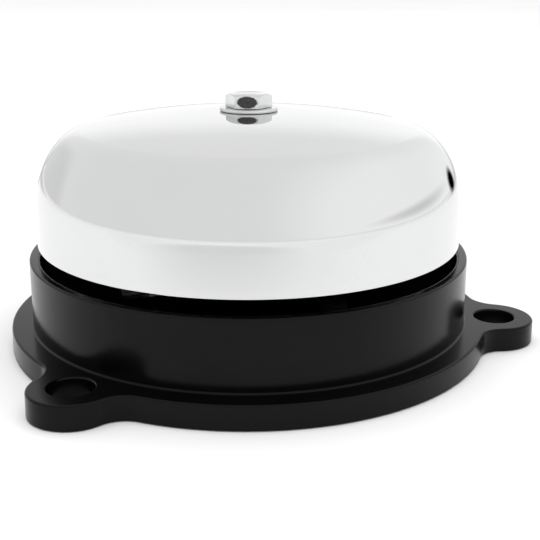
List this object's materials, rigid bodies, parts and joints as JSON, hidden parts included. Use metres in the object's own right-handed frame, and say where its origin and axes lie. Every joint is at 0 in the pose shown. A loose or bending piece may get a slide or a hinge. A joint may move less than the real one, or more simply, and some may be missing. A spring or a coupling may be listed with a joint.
{
  "type": "electric gong bell",
  "caption": "Round under-dome electric gong bell: polished dome gong held by a hex bolt over a black moulded base with fixing lugs, with a magnet-driven striker inside.",
  "frame": {"origin": "on the bell's axis, in the flat underside of the base", "axes": "+Z from the wall towards the gong's crown, +Y through one fixing lug, striker and magnet along -X"},
  "size_m": [0.121, 0.125, 0.0578],
  "materials": {
    "black_plastic": "semi-gloss moulded",
    "cover_board": "matt insulating board",
    "black_oxide": "blackened",
    "chrome": "mirror polish",
    "zinc_steel": "bright zinc plate",
    "sheet_steel": "zinc passivated",
    "core_steel": "dull varnished steel",
    "brass": "turned",
    "copper_wire": "enamelled copper wire",
    "nylon": "moulded",
    "wrap_tape": "smooth tape",
    "fibre": "vulcanised fibre",
    "rubber": "matt",
    "lead_insulation": "extruded"
  },
  "bodies": {
    "housing": {"base_housing": "black_plastic", "cable_grommet": "rubber", "gong": "chrome", "gong_washer": "zinc_steel", "gong_bolt": "zinc_steel", "gong_seat_washer": "fibre", "centre_post": "zinc_steel", "chassis_plate": "sheet_steel", "chassis_screw_1": "zinc_steel", "chassis_screw_2": "zinc_steel", "chassis_screw_3": "zinc_steel", "chassis_screw_4": "zinc_steel", "earth_washer": "brass", "earth_screw": "brass", "magnet_core": "core_steel", "coil_bobbin_left": "nylon", "coil_bobbin_right": "nylon", "coil_winding_left": "copper_wire", "coil_winding_right": "copper_wire", "coil_wrap_left": "wrap_tape", "coil_wrap_right": "wrap_tape", "pivot_pin": "zinc_steel", "pivot_clip": "zinc_steel", "return_spring": "zinc_steel", "stop_screw": "brass", "stop_pad": "rubber", "stop_nut": "brass", "terminal_block": "nylon", "terminal_barrel_1": "brass", "terminal_barrel_2": "brass", "terminal_screw_1": "zinc_steel", "terminal_screw_2": "zinc_steel", "block_screw": "zinc_steel", "coil_lead_left": "lead_insulation", "coil_lead_right": "lead_insulation", "mechanism_cover": "cover_board", "cover_screw_1": "black_oxide", "cover_screw_2": "black_oxide", "cover_screw_3": "black_oxide"},
    "striker": {"armature": "core_steel", "striker_rod": "zinc_steel", "striker_head": "brass", "rod_nut_front": "zinc_steel", "rod_nut_back": "zinc_steel"}
  },
  "joints": [
    {"name": "striker_swing", "type": "hinge", "parent": "housing", "child": "striker", "pos_m": [-0.0116, 0, 0.0105], "axis": [0, -1, 0], "range_deg": [0, 5], "stiffness_Nm_per_rad": 0.01, "springref_deg": -20.05, "deforming": ["return_spring"]}
  ]
}
